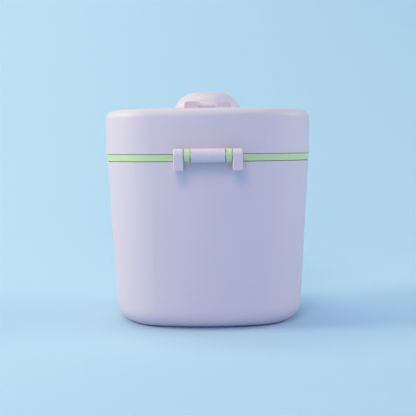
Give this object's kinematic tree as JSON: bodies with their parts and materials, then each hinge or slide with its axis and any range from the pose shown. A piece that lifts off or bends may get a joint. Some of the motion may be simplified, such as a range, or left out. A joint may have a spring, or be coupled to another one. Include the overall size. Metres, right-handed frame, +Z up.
{
  "type": "milk powder container",
  "caption": "Tapered oblong tub with a hinged levelling frame, a hinged lid with a domed pouring cap, a front latch and a scoop stored under the lid.",
  "frame": {"origin": "centre of the tub's footprint, on the surface that it stands on", "axes": "+Z up, +X to the right and +Y away when seen from the hinge side, as in the picture; the hinge is on -Y and the latch on +Y"},
  "size_m": [0.13, 0.1147, 0.1457],
  "materials": {
    "lilac_plastic": "satin moulded polypropylene, pale lilac",
    "green_plastic": "satin moulded polypropylene, pastel green",
    "silicone": "translucent soft silicone",
    "steel_pin": "drawn stainless wire",
    "white_plastic": "smooth white polypropylene"
  },
  "bodies": {
    "tub": {"tub": "lilac_plastic", "hinge_pin": "steel_pin"},
    "frame": {"level_frame": "green_plastic", "frame_gasket": "silicone"},
    "lid": {"lid_cover": "lilac_plastic", "lid_liner": "lilac_plastic", "lid_gasket": "silicone", "spout_collar": "lilac_plastic", "cap_pin": "steel_pin", "latch_pin": "steel_pin"},
    "cap": {"pour_cap": "lilac_plastic", "cap_plug": "silicone"},
    "latch": {"latch_lever": "lilac_plastic"},
    "scoop": {"scoop": "white_plastic"}
  },
  "joints": [
    {"name": "frame_hinge", "type": "hinge", "parent": "tub", "child": "frame", "pos_m": [0, -0.0542, 0.1055], "axis": [1, 0, 0], "range_deg": [0, 80]},
    {"name": "lid_hinge", "type": "hinge", "parent": "frame", "child": "lid", "pos_m": [0, -0.0542, 0.1055], "axis": [1, 0, 0], "range_deg": [0, 105]},
    {"name": "cap_hinge", "type": "hinge", "parent": "lid", "child": "cap", "pos_m": [0, -0.02405, 0.1354], "axis": [1, 0, 0], "range_deg": [0, 110]},
    {"name": "latch_hinge", "type": "hinge", "parent": "lid", "child": "latch", "pos_m": [0, 0.0516, 0.113], "axis": [1, 0, 0], "range_deg": [0, 110]},
    {"name": "scoop_slide", "type": "slide", "parent": "lid", "child": "scoop", "axis": [0, 0, -1], "range_m": [0, 0.07]}
  ]
}
